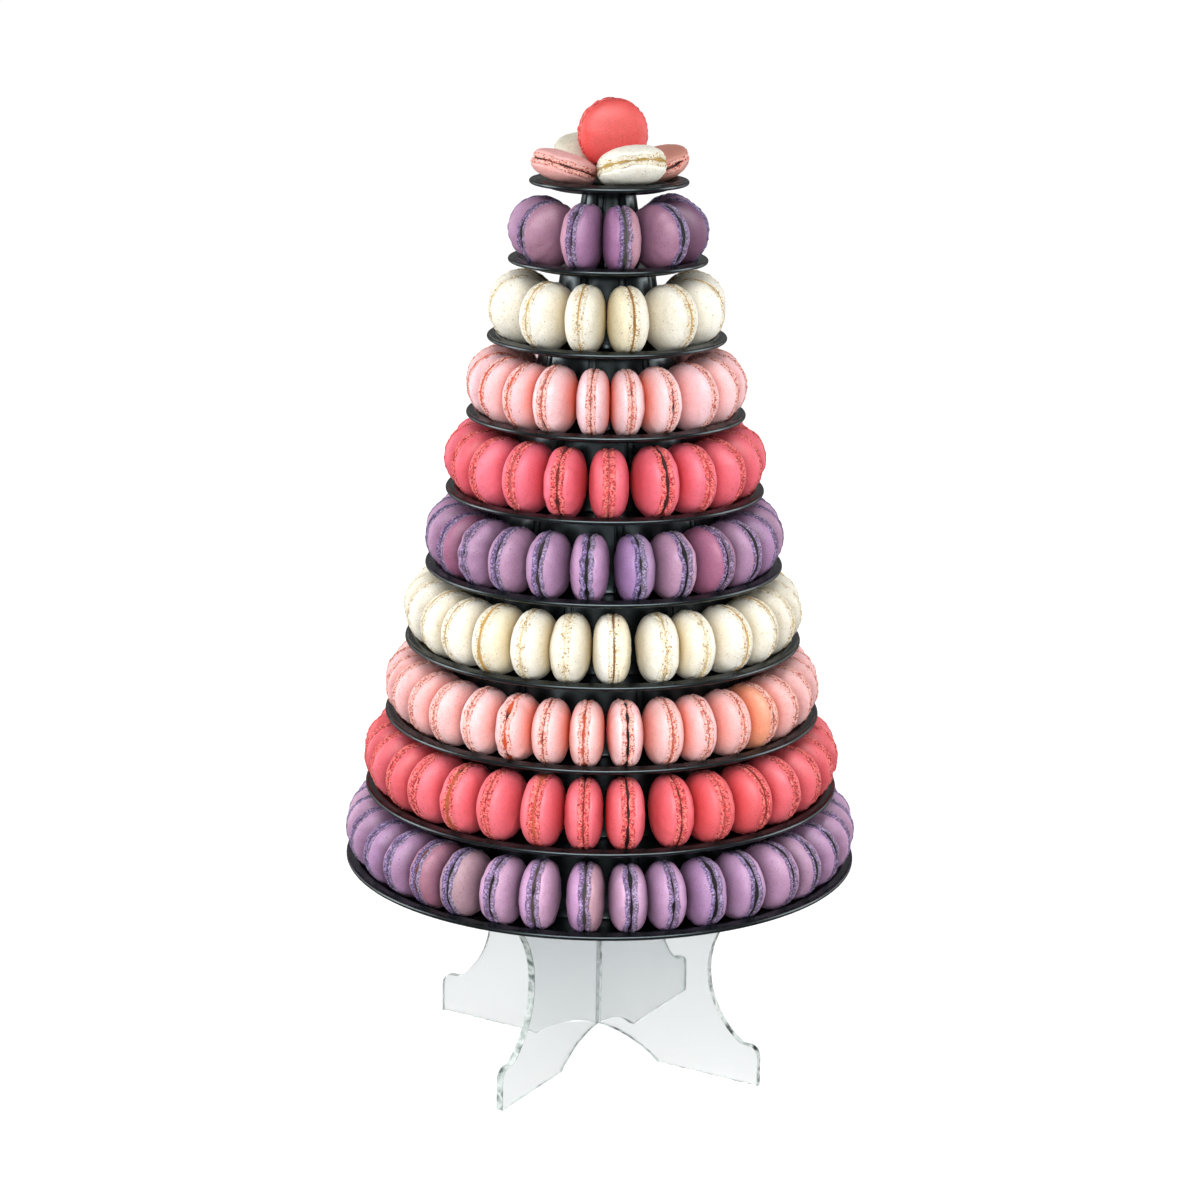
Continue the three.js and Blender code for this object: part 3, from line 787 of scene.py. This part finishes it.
# The ones that stand out from their tier: (tier, index) and what differs. "left" and "right" are
# the shells before and after the filling, going round against the clock. "gap" is the seam's
# width, and "recess" is how far the filling lies back in it.
ODD = {
    (1, 2): {"left": "#b47a92", "right": "#b4788e", "filling": "#6a4038"},
    (1, 3): {"left": "#b48ea2", "right": "#b6929e"},
    (1, 5): {"left": "#c296bf", "right": "#c79cbc", "filling": "#4a4038", "gap": 1.9},
    (1, 6): {"left": "#bd90bb", "right": "#bb90a0", "filling": "#3c3836", "gap": 2.0},
    (1, 7): {"filling": "#0e0a0e", "gap": 2.0},
    (1, 9): {"filling": "#0e0a0e", "gap": 2.3},
    (1, 10): {"filling": "#0e0a0e", "gap": 2.5, "recess": 1.2},
    (1, 11): {"filling": "#0e0a0e", "gap": 2.6, "recess": 1.0},
    (1, 12): {"filling": "#0e0a0e", "gap": 2.7, "recess": 0.9},
    (1, 13): {"filling": "#0e0a0e", "gap": 2.7, "recess": 0.9},
    (2, 3): {"filling": "#ac5426", "gap": 1.4, "recess": 0.4},
    (2, 5): {"filling": "#b8542c", "gap": 1.7, "recess": 0.5},
    (2, 6): {"filling": "#6e2018", "gap": 0.9},
    (2, 7): {"filling": "#2c0e0c", "gap": 1.4},
    (2, 8): {"filling": "#6a2014", "gap": 1.3},
    (3, 5): {"filling": "#cc4a1e", "gap": 1.7, "recess": 0.7},
    (3, 6): {"filling": "#7a2c1c", "gap": 0.8},
    (3, 7): {"filling": "#b04420", "gap": 1.1, "recess": 0.7},
    (3, 8): {"filling": "#1c0e0a", "gap": 1.4},
    (3, 12): {"left": "#efa88a", "right": "#eeb298"},
    (4, 3): {"filling": "#c4994e", "gap": 3.0, "recess": 0.2, "left": "#f5f2e4", "right": "#f2ecda"},
    (4, 6): {"filling": "#7a5628", "gap": 1.4, "left": "#f8f8f4", "right": "#f3ebd2"},
    (5, 1): {"left": "#b4688f", "right": "#b06e92", "filling": "#7a3a34", "gap": 1.5},
    (5, 6): {"left": "#a580b4", "right": "#ab8ab4"},
    (5, 7): {"filling": "#0e0a0e", "gap": 2.3, "recess": 1.2},
    (5, 8): {"left": "#b46e90", "right": "#ac7896", "filling": "#0e0a0e", "gap": 2.3},
    (5, 9): {"filling": "#0e0a0e", "gap": 2.5, "recess": 1.0},
    (6, 4): {"filling": "#6e1e16", "gap": 1.9},
    (6, 6): {"filling": "#3c1210", "gap": 1.9},
    (7, 0): {"filling": "#dc5a30", "gap": 1.4, "recess": 0.4},
    (7, 1): {"filling": "#d65028", "gap": 1.4, "recess": 0.5},
    (7, 2): {"filling": "#d65028", "gap": 1.5, "recess": 0.6},
    (8, 1): {"filling": "#c99c46", "gap": 0.9, "recess": 0.3},
    (8, 2): {"filling": "#c79a42", "gap": 0.9, "recess": 0.3},
    (8, 3): {"filling": "#a07432", "gap": 1.5, "recess": 0.9, "left": "#f2e9cc"},
    (9, 0): {"left": "#b6869e", "right": "#b6869e", "filling": "#0c080c", "gap": 2.4, "recess": 1.1},
    (9, 1): {"left": "#c491a8", "right": "#b283ac", "filling": "#16121a", "gap": 1.6},
    (9, 2): {"left": "#b07ba8", "right": "#c594a4", "filling": "#4a4a42", "gap": 2.3},
    (9, 3): {"left": "#b07e9a", "right": "#a882ae", "filling": "#0c080c", "gap": 2.6, "recess": 1.1},
    # (9, 4)'s shells are painted darker than its tier's, as painted shade where it turns away from
    # the light.
    (9, 4): {"left": "#7e5672", "right": "#7c5470"},
}


def waves(turn, generator, counts, strength):
    """A smooth uneven line round a circle."""
    total = np.zeros_like(turn)
    for count in counts:
        total += generator.normal() * np.sin(count * turn + generator.uniform(0, 2 * math.pi))
    return strength * total / math.sqrt(len(counts))


def crevices(turn, generator):
    """Where the seam is torn: up to three short stretches of it, 1 at the middle of each."""
    crevice = np.zeros_like(turn)
    for _ in range(generator.integers(1, 4)):
        where = generator.uniform(-math.pi, math.pi)
        away = np.abs((turn - where + math.pi) % (2 * math.pi) - math.pi)
        crevice = np.maximum(crevice, np.exp(-((away / generator.uniform(0.09, 0.2)) ** 2)))
    return crevice


def macaron_colours(flavour, tier, odd, generator, side, in_fill, in_foot, torn):
    """The colour of each point: its shell's, its frill's or the filling's."""
    shells = SHELLS[flavour]
    tone = (*BATCH_TONE.get(tier, (1.0, 1.0, 1.0)), 1.0)
    tint = generator.uniform(0.95, 1.03) * np.array(tone)
    left = linear(odd.get("left", shells[generator.integers(len(shells))]))
    right = linear(odd.get("right", shells[generator.integers(len(shells))]))
    shared = SHARED_COLOUR if "left" not in odd else 0.0
    left_own = [a * (1 - shared) + b * shared for a, b in zip(left, right)]
    right_own = [b * (1 - shared) + a * shared for a, b in zip(left, right)]
    shade = np.where(side[:, None] < 0, np.array(left_own), np.array(right_own)) * tint
    fillings = FILLINGS[flavour]
    filling = linear(odd.get("filling", fillings[generator.integers(len(fillings))]))
    if flavour in FRILL_SHADES:
        before, after = [np.array(linear(colour)) for colour in FRILL_SHADES[flavour]]
        near = generator.uniform(0.2, 0.8)
        own = np.where(side[:, None] < 0, before, after)
        shade = np.where(in_foot[:, None], own * near + shade * (1 - near), shade)
    shade = np.where(in_fill[:, None], np.array(filling), shade)
    # Torn crevices are drawn dark, because they are too deep for light.
    shade = shade * np.where(in_fill, 1 - 0.92 * torn, 1.0)[:, None]
    shade[:, 3] = 1.0
    return shade


def macaron_shape(radius, thickness, flavour, key, odd):
    """One macaron: its points, in millimetres with its axis along Y, and what they carry."""
    tier, index = key
    generator = np.random.default_rng(7919 * tier + 31 * index + 5)
    along = np.abs(MASTER_ALONG)
    side = np.sign(MASTER_ALONG)
    turn = MASTER_TURN
    gap = odd.get("gap", generator.uniform(*SEAM_GAP[flavour]))
    half = 0.5 * thickness
    # The seam opens and closes on its way round, with a few short torn crevices.
    torn = TEAR[flavour] * crevices(turn, generator)
    wedge = generator.uniform(0.0, 0.35) * gap * np.cos(turn - generator.uniform(0, 2 * math.pi))
    opening = np.clip(0.5 * gap * (1 + waves(turn, generator, (4, 7, 11), 0.55)), *HALF_SEAM)
    fill_half = np.clip(opening + wedge, *HALF_SEAM) + torn * generator.uniform(0.3, 0.8)
    recess = odd.get("recess", generator.uniform(*FILL_RECESS[flavour])) + 1.6 * torn
    line = waves(turn, generator, (2, 3, 5, 9), 0.16)
    # The filling, the foot and the dome each take their share of the half thickness.
    foot_width = generator.uniform(*FOOT_WIDTH[flavour])
    foot_edge = fill_half + foot_width + waves(turn, generator, (3, 5, 8, 13, 21), 0.22)
    dome_thickness = half * (1 + 0.05 * side * generator.uniform(-1, 1))
    through_foot = (along - FOOT_INNER) / (FOOT_OUTER - FOOT_INNER)
    through_dome = (along - FOOT_OUTER) / (MASTER_HALF - FOOT_OUTER)
    stretch = np.where(
        along <= FOOT_INNER,
        along / FOOT_INNER * fill_half,
        np.where(
            along <= FOOT_OUTER,
            fill_half + through_foot * (foot_edge - fill_half),
            foot_edge + through_dome * (dome_thickness - foot_edge),
        ),
    )
    y = side * stretch + line * np.clip(1 - along / 9, 0, 1)
    in_fill = along < FILL_HALF
    in_foot = (along > FILL_HALF) & (along < FOOT_OUTER)
    share = np.where(in_fill, 1 - recess / radius, MASTER_SHARE)
    # Frills: each shell has its own run of bumps, with grit on them.
    ruffle = np.zeros_like(turn)
    for s in (-1, 1):
        bumps = waves(turn, generator, (9, 14, 19, 26, 33), RUFFLE[flavour])
        ruffle = np.where(side == s, bumps, ruffle)
    grit = generator.normal(0, 0.2, len(turn))
    rho = share * radius
    rho = rho + np.where(in_foot, np.clip(ruffle + grit, *FRILL_REACH), 0.0)
    y = y + np.where(in_foot, generator.normal(0, 0.12, len(turn)), 0.0)
    # No shell is quite round, and the two never sit quite true.
    oval = waves(turn, generator, (2, 3), 0.008) + waves(turn, generator, (4, 6), 0.003)
    rho = rho * (1 + np.clip(oval, -0.02, 0.0))
    slip = generator.uniform(0, 0.55) * side
    slip_turn = generator.uniform(0, 2 * math.pi)
    # Low swells in the dome.
    swell = waves(turn, generator, (1, 2, 3), 0.22) * np.clip((1 - MASTER_SHARE) * 3, 0, 1)
    y = y - side * np.clip((along - 5) / 5, 0, 1) * np.abs(swell)
    x = rho * np.cos(turn) + slip * 0.5 * math.cos(slip_turn)
    z = rho * np.sin(turn) + slip * 0.5 * math.sin(slip_turn)
    if generator.uniform() < DENT_SHARE:
        where = generator.uniform(-0.7, 0.7, 2) * radius
        dent_side = 1 if generator.uniform() < 0.5 else -1
        reach = generator.uniform(5, 9)
        close = np.exp(-((x - where[0]) ** 2 + (z - where[1]) ** 2) / reach**2)
        dented = (side == dent_side) & (along > 6)
        y = y - dent_side * close * generator.uniform(0.3, 0.9) * dented
    foot = np.where(in_foot, 0.6 + 0.4 * np.clip(1 - (along - 0.6) / 2.6, 0, 1), 0.0)
    return {
        "place": np.column_stack([x, y, z]),
        "shade": macaron_colours(flavour, tier, odd, generator, side, in_fill, in_foot, torn),
        "foot": np.where(in_fill, 1.0, foot),
        "fill": in_fill.astype(float),
        "press": np.zeros(len(turn)),
    }


def standing_rows(tier):
    """Where each macaron of a tier stands: on the floor, leaning out against the crest."""
    flavour, count, first, uneven, draw, diameter, thickness = TIERS[tier]
    rows = []
    for index in range(count):
        if index in OPEN_PLACES.get(tier, ()):
            continue
        spacing = 360 / count
        radius = 0.5 * diameter * (1 + DIAMETER_SPREAD * shift(index, draw + 1))
        reach = radius + TOUCH_GAP
        crest_reach = math.sqrt(reach**2 - (reach - CREST_UP - FLOOR_DOWN) ** 2)
        crest_radius = (lip_radius(tier) - CREST_IN) * math.cos(math.pi / TRAY_SIDES[tier])
        angle = first + index * spacing + spacing * uneven * shift(index, draw)
        row = {
            "index": index,
            "radius": radius,
            "thickness": thickness * (1 + THICKNESS_SPREAD * shift(index, draw + 2)),
            "angle": angle + MOVED.get((tier, index), 0.0),
            "yaw": YAW_SPREAD * shift(index, draw + 3),
            "out": crest_radius - crest_reach,
            "z": lip_z(tier) - FLOOR_DOWN + reach,
        }
        rows.append(row)
    return rows


def soft_limit(value, limit, softness=0.7):
    """Keeps value under limit, with a rounded turn instead of a crease."""
    below = np.clip((limit - value) / softness, -30, 30)
    rounded = limit - softness * np.log1p(np.exp(below))
    return np.where(below > 20, value, rounded)


def assemble(name, parts, flavour, nodes):
    """One piece from many macarons, with the attributes that their material reads."""
    count = len(MASTER_PLACE)
    faces = []
    for number in range(len(parts)):
        faces += [[vertex + number * count for vertex in face] for face in MASTER_FACES]
    place = np.concatenate([part["place"] for part in parts]) * MM
    mesh = bpy.data.meshes.new(name)
    mesh.from_pydata(place.tolist(), [], faces)
    shade = mesh.attributes.new("shade", "FLOAT_COLOR", "POINT")
    shade.data.foreach_set("color", np.concatenate([part["shade"] for part in parts]).ravel())
    for label in ("foot", "fill", "press"):
        layer = mesh.attributes.new(label, "FLOAT", "POINT")
        layer.data.foreach_set("value", np.concatenate([part[label] for part in parts]))
    mesh.validate()
    mesh.update()
    piece = bpy.data.objects.new(name, mesh)
    bpy.context.collection.objects.link(piece)
    smooth(piece)
    mesh.materials.append(FLAVOUR_FINISH[flavour])
    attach(piece, "root")
    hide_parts(*nodes)
    return piece


def make_tier(tier):
    flavour = TIERS[tier][0]
    rows = standing_rows(tier)
    parts = []
    for order, row in enumerate(rows):
        key = (tier, row["index"])
        part = macaron_shape(row["radius"], row["thickness"], flavour, key, ODD.get(key, {}))
        local = part["place"]
        yaw = math.radians(row["yaw"])
        x = local[:, 0] * math.cos(yaw) - local[:, 1] * math.sin(yaw) + row["out"]
        y = local[:, 0] * math.sin(yaw) + local[:, 1] * math.cos(yaw)
        z = local[:, 2] + row["z"]
        before = (row["angle"] - rows[order - 1]["angle"]) % 360
        after = (rows[(order + 1) % len(rows)]["angle"] - row["angle"]) % 360
        limit_after = x * math.tan(math.radians(0.5 * after)) - 0.5 * TOUCH_GAP
        limit_before = x * math.tan(math.radians(0.5 * before)) - 0.5 * TOUCH_GAP
        free = np.where(y > 0, limit_after - y, limit_before + y)
        # Painted shade and bounce light: the nearer the neighbour, the deeper and warmer the colour.
        part["press"] = np.exp(-np.clip(free, 0, None) / BOUNCE_SHADE_REACH)
        y = soft_limit(y, limit_after)
        y = -soft_limit(-y, limit_before)
        angle = math.radians(row["angle"])
        across = x * math.cos(angle) - y * math.sin(angle)
        away = x * math.sin(angle) + y * math.cos(angle)
        part["place"] = np.column_stack([across, away, z])
        parts.append(part)
    if tier <= RING_TIERS:
        nodes = [f"macaron_ring_{tier}"]
    else:
        nodes = [f"macaron_{tier}_{index + 1:02d}" for index in range(len(rows))]
    return assemble(f"{flavour}_macarons_{tier}", parts, flavour, nodes)


TOP_ODD = {
    "top_pink_left": {"left": "#efb0ac", "right": "#eeb4b2", "filling": "#3a1c16", "gap": 1.0},
    "top_cream_front": {
        "left": "#f3f1e6",
        "right": "#f1efe4",
        "filling": "#b8944c",
        "gap": 2.2,
        "recess": 0.3,
    },
    "top_pink_right": {"left": "#cf9284", "right": "#c88a7c", "filling": "#3a1c16", "gap": 0.9},
    "top_cream_back": {"left": "#ddd9ca", "right": "#d8d4c4"},
    "top_coral": {"left": "#e45452", "right": "#e45452", "filling": "#a83028", "gap": 0.6},
}


def make_top():
    floor = lip_z(TIER_COUNT) - FLOOR_DOWN
    for number, (node, values) in enumerate(TOP_LYING.items()):
        flavour, direction, out, up, tilt, diameter, thickness = values
        part = macaron_shape(
            0.5 * diameter, thickness, flavour, (TIER_COUNT, number), TOP_ODD[node]
        )
        lay = Matrix.Rotation(math.radians(direction), 3, "Z") @ (
            Matrix.Rotation(-math.radians(tilt), 3, "Y") @ Matrix.Rotation(0.5 * math.pi, 3, "X")
        )
        centre = Matrix.Rotation(math.radians(direction), 3, "Z") @ Vector((out, 0, floor + up))
        part["place"] = part["place"] @ np.array(lay).T + np.array(centre)
        assemble(f"{node}_macaron", [part], flavour, [node])
    top = TOP_STANDING
    part = macaron_shape(
        0.5 * top["diameter"],
        top["thickness"],
        "coral",
        (TIER_COUNT, top["draw"]),
        TOP_ODD["top_coral"],
    )
    turn = Matrix.Rotation(math.radians(top["turn"]), 3, "Z")
    direction = math.radians(top["direction"])
    aside = [top["out"] * math.cos(direction), top["out"] * math.sin(direction)]
    part["place"] = part["place"] @ np.array(turn).T + np.array([*aside, floor + top["up"]])
    assemble("top_coral_macaron", [part], "coral", ["top_coral"])


make_panel("panel_x", slot_from_top=False, along_y=False)
make_panel("panel_y", slot_from_top=True, along_y=True)
for tier in range(1, TIER_COUNT + 1):
    make_tray(tier)
for tier in TIERS:
    make_tier(tier)
make_top()

# ---- Studio, in metres ----

FLOOR_Z = -0.0004
FLOOR_RADIUS = 24.0
SWEEP_RADIUS = 6.0
WALL_HEIGHT = 40.0
WORLD_STRENGTH = 0.2
# The camera: how far to the right, out in front and up, its tilt and roll, its lens and sensor.
CAMERA_PLACE = (-0.0021, 1.9617, 0.8329)
CAMERA_TILT = 0.2552
CAMERA_ROLL = 0.0144
LENS = 90.86
SENSOR_WIDTH = 36.0
# Each soft box, as seen from the tower's front: how far it stands to the right, out in front and
# up, the height it aims at, its width, height and watts, and whether it shows in gloss and
# whether it lights dull surfaces.
SOFT_BOXES = {
    "near": ((0.0, 0.52, 0.31), 0.31, 0.2, 0.6, 1.9, False, True),
    "left": ((-1.55, 1.3, 0.8), 0.33, 1.0, 1.4, 6, False, True),
    "right": ((1.55, 1.3, 0.8), 0.33, 1.0, 1.4, 3, False, True),
    "far_left": ((-2.0, -0.2, 0.8), 0.33, 1.0, 1.5, 38, True, True),
    "far_right": ((2.0, -0.2, 0.8), 0.33, 1.0, 1.5, 31, True, True),
    "high": ((-0.1, 1.4, 1.9), 0.33, 1.4, 1.2, 22, True, True),
    "card": ((-0.35, 1.6, 0.75), 0.45, 1.6, 0.9, 5, True, False),
    "strip": ((0.2, 1.6, 1.6), 0.33, 2.6, 0.9, 100, True, False),
    "sheen_left": ((-0.9, 1.5, 0.6), 0.33, 0.3, 0.9, 2, True, False),
    "sheen_right": ((0.8, 1.5, 0.6), 0.33, 0.3, 0.9, 2, True, False),
    "rear_left": ((-2.2, -1.4, 0.6), 0.33, 1.6, 1.2, 7, True, False),
    "rear_right": ((2.2, -1.4, 0.6), 0.33, 1.6, 1.2, 7, True, False),
    "back": ((0.0, -2.2, 0.8), 0.33, 1.6, 1.2, 30, False, True),
}


def pale_floor():
    """Seamless white light table that sweeps up far away, so no horizon shows in a low view."""
    outline = [(0.0, 0.0, FLOOR_Z), (FLOOR_RADIUS, 0.0, FLOOR_Z)]
    sweep = arc(FLOOR_RADIUS, SWEEP_RADIUS, SWEEP_RADIUS - FLOOR_Z, -75, 0, 5)
    outline += [(x, 0.0, z) for x, z in sweep]
    outline.append((FLOOR_RADIUS + SWEEP_RADIUS, 0.0, WALL_HEIGHT))
    floor = drawn_line("studio_floor", outline)
    bpy.ops.mesh.select_all(action="SELECT")
    bpy.ops.mesh.spin(steps=48, angle=2 * math.pi, center=(0, 0, 0), axis=(0, 0, 1))
    bpy.ops.mesh.select_all(action="SELECT")
    bpy.ops.mesh.remove_doubles(threshold=0.01)
    bpy.ops.object.mode_set(mode="OBJECT")
    smooth(floor)
    material, tree = new_material("white_light_table")
    surface = {
        "Base Color": linear("#6d6d6d"),
        "Roughness": 0.9,
        "Specular IOR Level": 0.0,
        "Emission Strength": 1.0,
        "Emission Color": linear("#ffffff"),
    }
    shader = add(tree, SHADER, surface)
    add(tree, "ShaderNodeOutputMaterial", links={"Surface": (shader, "BSDF")})
    floor.data.materials.append(material)
    # It lights nothing and shows in no gloss, so the undersides and the trays stay dark.
    floor.visible_diffuse = False
    floor.visible_glossy = False


def soft_box(name, place, aim, width, height, power, gloss, diffuse):
    light = bpy.data.lights.new(name, "AREA")
    light.shape = "RECTANGLE"
    light.size = width
    light.size_y = height
    light.energy = power
    lamp = bpy.data.objects.new(name, light)
    bpy.context.collection.objects.link(lamp)
    lamp.visible_camera = False
    lamp.visible_glossy = gloss
    lamp.visible_diffuse = diffuse
    lamp.location = place
    lamp.rotation_euler = (Vector(aim) - Vector(place)).to_track_quat("-Z", "Y").to_euler()


def from_front(right, towards, up):
    """A place given as seen from the tower's front: to the right, out in front, and up."""
    turn = math.radians(FRONT_TURN)
    return (
        right * math.cos(turn) + towards * math.sin(turn),
        right * math.sin(turn) - towards * math.cos(turn),
        up,
    )


def studio():
    pale_floor()
    world = bpy.data.worlds.new("studio")
    bpy.context.scene.world = world
    world.use_nodes = True
    background = world.node_tree.nodes["Background"]
    background.inputs["Color"].default_value = linear("#ffffff")
    background.inputs["Strength"].default_value = WORLD_STRENGTH
    for name, (place, aim_height, *values) in SOFT_BOXES.items():
        soft_box(name, from_front(*place), (0, 0, aim_height), *values)
    scene = bpy.context.scene
    scene.view_settings.view_transform = "Standard"
    scene.view_settings.look = "None"


def camera():
    """A long lens in front of the tower and a little above it, looking slightly down."""
    turn = math.radians(FRONT_TURN)
    forward = Vector((0, math.cos(CAMERA_TILT), -math.sin(CAMERA_TILT)))
    right = Vector((1, 0, 0))
    up = right.cross(forward)
    rolled_right = math.cos(CAMERA_ROLL) * right + math.sin(CAMERA_ROLL) * up
    rolled_up = math.cos(CAMERA_ROLL) * up - math.sin(CAMERA_ROLL) * right
    axes = Matrix((rolled_right, rolled_up, -forward)).transposed()
    turned_axes = Matrix.Rotation(turn, 3, "Z") @ axes
    data = bpy.data.cameras.new("camera")
    data.lens = LENS
    data.sensor_width = SENSOR_WIDTH
    data.clip_end = 100
    lens = bpy.data.objects.new("camera", data)
    bpy.context.collection.objects.link(lens)
    place = Matrix.Translation(from_front(*CAMERA_PLACE))
    lens.matrix_world = place @ turned_axes.to_4x4()
    bpy.context.scene.camera = lens


studio()
camera()
